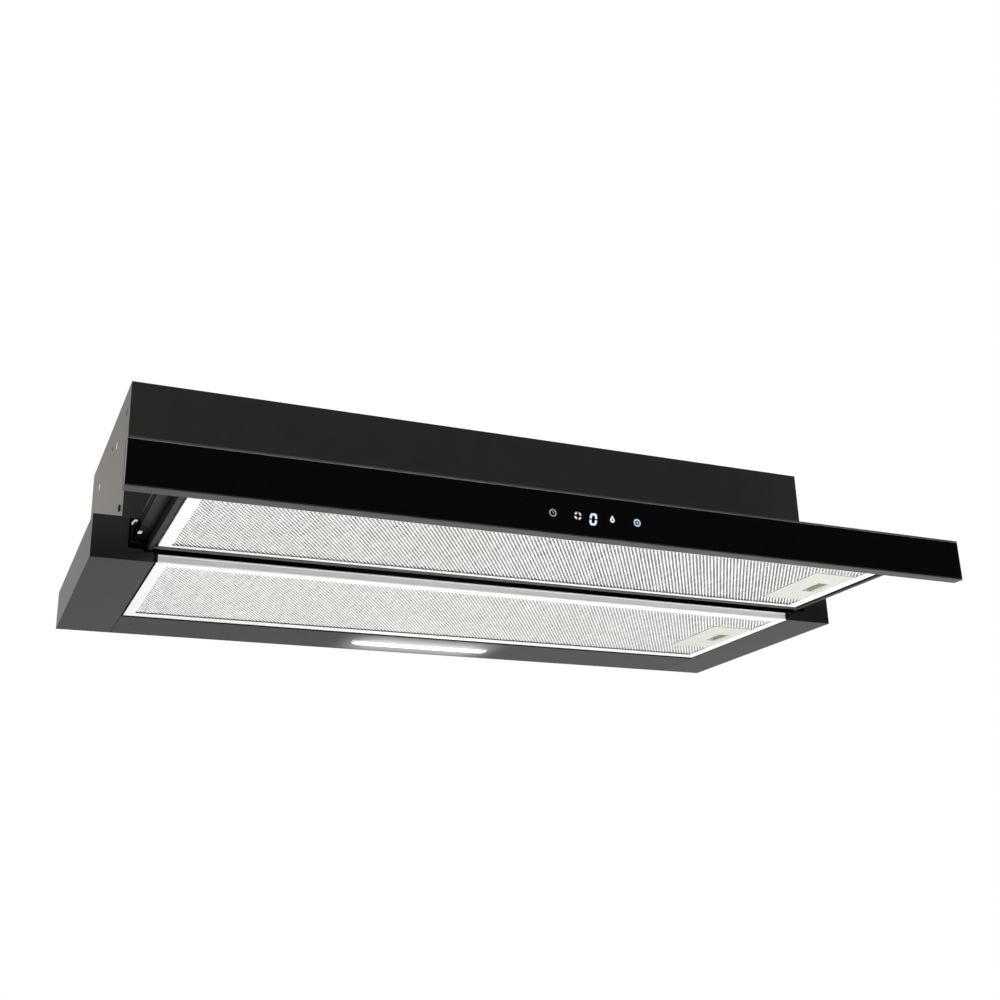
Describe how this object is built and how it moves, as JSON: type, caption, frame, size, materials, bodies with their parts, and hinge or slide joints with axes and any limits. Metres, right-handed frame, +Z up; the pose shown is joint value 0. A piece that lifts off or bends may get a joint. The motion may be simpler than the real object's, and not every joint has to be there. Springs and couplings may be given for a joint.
{
  "type": "built-in cooker hood",
  "caption": "Slide-out built-in cooker hood: steel casing, telescopic drawer with black glass front, mesh filters, lamp, blower and duct outlet.",
  "frame": {"origin": "centre of the round air outlet, on the casing's top face", "axes": "+X to the right as a cook sees it, +Y backwards to the wall, +Z up, the way the duct leaves"},
  "size_m": [0.798, 0.4822, 0.2067],
  "materials": {
    "black_steel": "satin black powder paint",
    "grey_bar": "grey paint",
    "lamp_lens": "white diffusing plastic",
    "circuit_board": "coated laminate",
    "white_plastic": "moulded",
    "filter_frame": "folded, satin",
    "filter_mesh": "expanded mesh",
    "filter_core": "layered expanded mesh",
    "latch_plastic": "moulded, cream",
    "rail_steel": "black coated steel",
    "cage_plastic": "moulded",
    "ball_steel": "polished",
    "black_plastic": "moulded",
    "pin_steel": "zinc plated",
    "motor_steel": "bare steel can",
    "impeller_plastic": "moulded",
    "capacitor_can": "moulded",
    "front_glass": "black back-printed glass, gloss",
    "holder_metal": "grey anodised",
    "rubber": "moulded"
  },
  "bodies": {
    "housing": {"cable_gland": "black_plastic", "capacitor": "capacitor_can", "casing_front_panel": "black_steel", "casing_rear_panel": "black_steel", "casing_screws": "pin_steel", "casing_side_left": "black_steel", "casing_side_right": "black_steel", "casing_top_panel": "black_steel", "control_box": "black_plastic", "control_box_lid": "black_plastic", "damper_pins": "pin_steel", "fixed_filter_core": "filter_core", "fixed_filter_frame": "filter_frame", "fixed_filter_latch_plate": "latch_plastic", "fixed_filter_mesh": "filter_mesh", "lamp_holder": "white_plastic", "lamp_led_board": "circuit_board", "lamp_lens": "lamp_lens", "motor_body": "motor_steel", "motor_bracket": "motor_steel", "outlet_collar": "black_plastic", "rail_brackets": "rail_steel", "rail_outer_left": "rail_steel", "rail_outer_right": "rail_steel", "scroll_end_left": "black_plastic", "scroll_end_right": "black_plastic", "scroll_housing": "black_plastic", "tray_rear_strip": "black_steel", "tray_rear_wall": "black_steel", "tray_side_left": "black_steel", "tray_side_right": "black_steel"},
    "fixed_latch": {"fixed_filter_latch": "latch_plastic"},
    "drawer_latch": {"drawer_filter_latch": "latch_plastic"},
    "cage_left": {"ball_cage_left": "cage_plastic", "rail_balls_left": "ball_steel"},
    "cage_right": {"ball_cage_right": "cage_plastic", "rail_balls_right": "ball_steel"},
    "flap_left": {"damper_flap_left": "black_plastic"},
    "flap_right": {"damper_flap_right": "black_plastic"},
    "rotor": {"motor_shaft": "pin_steel", "impeller_left": "impeller_plastic", "impeller_right": "impeller_plastic"},
    "drawer": {"drawer_side_left": "black_steel", "drawer_side_right": "black_steel", "drawer_top_cover": "black_steel", "drawer_rear_bar": "grey_bar", "drawer_front_bar": "black_steel", "drawer_filter_frame": "filter_frame", "drawer_filter_mesh": "filter_mesh", "drawer_filter_core": "filter_core", "drawer_filter_latch_plate": "latch_plastic", "rail_inner_left": "rail_steel", "rail_inner_right": "rail_steel", "front_glass": "front_glass", "glass_holder": "holder_metal", "holder_end_caps": "black_plastic", "holder_screws": "pin_steel", "drawer_bumpers": "rubber", "touch_board": "circuit_board", "display_module": "black_plastic"}
  },
  "joints": [
    {"name": "drawer_slide", "type": "slide", "parent": "housing", "child": "drawer", "axis": [0, 1, 0], "range_m": [0, 0.194]},
    {"name": "cage_left_slide", "type": "slide", "parent": "housing", "child": "cage_left", "axis": [0, 1, 0], "range_m": [0, 0.097]},
    {"name": "cage_right_slide", "type": "slide", "parent": "housing", "child": "cage_right", "axis": [0, 1, 0], "range_m": [0, 0.097]},
    {"name": "fixed_latch_slide", "type": "slide", "parent": "housing", "child": "fixed_latch", "axis": [-1, 0, 0], "range_m": [0, 0.006], "stiffness_N_per_m": 300, "springref_m": -0.004},
    {"name": "drawer_latch_slide", "type": "slide", "parent": "drawer", "child": "drawer_latch", "axis": [-1, 0, 0], "range_m": [0, 0.006], "stiffness_N_per_m": 300, "springref_m": -0.004},
    {"name": "flap_left_hinge", "type": "hinge", "parent": "housing", "child": "flap_left", "pos_m": [-0.003, 0, 0.012], "axis": [0, 1, 0], "range_deg": [0, 80]},
    {"name": "flap_right_hinge", "type": "hinge", "parent": "housing", "child": "flap_right", "pos_m": [0.003, 0, 0.012], "axis": [0, -1, 0], "range_deg": [0, 80]},
    {"name": "rotor_spin", "type": "hinge", "parent": "housing", "child": "rotor", "pos_m": [0, 0, -0.073], "axis": [1, 0, 0], "continuous": true}
  ],
  "couplings": [
    {"joint": "cage_left_slide", "follows": "drawer_slide", "ratio": 0.5},
    {"joint": "cage_right_slide", "follows": "drawer_slide", "ratio": 0.5}
  ]
}
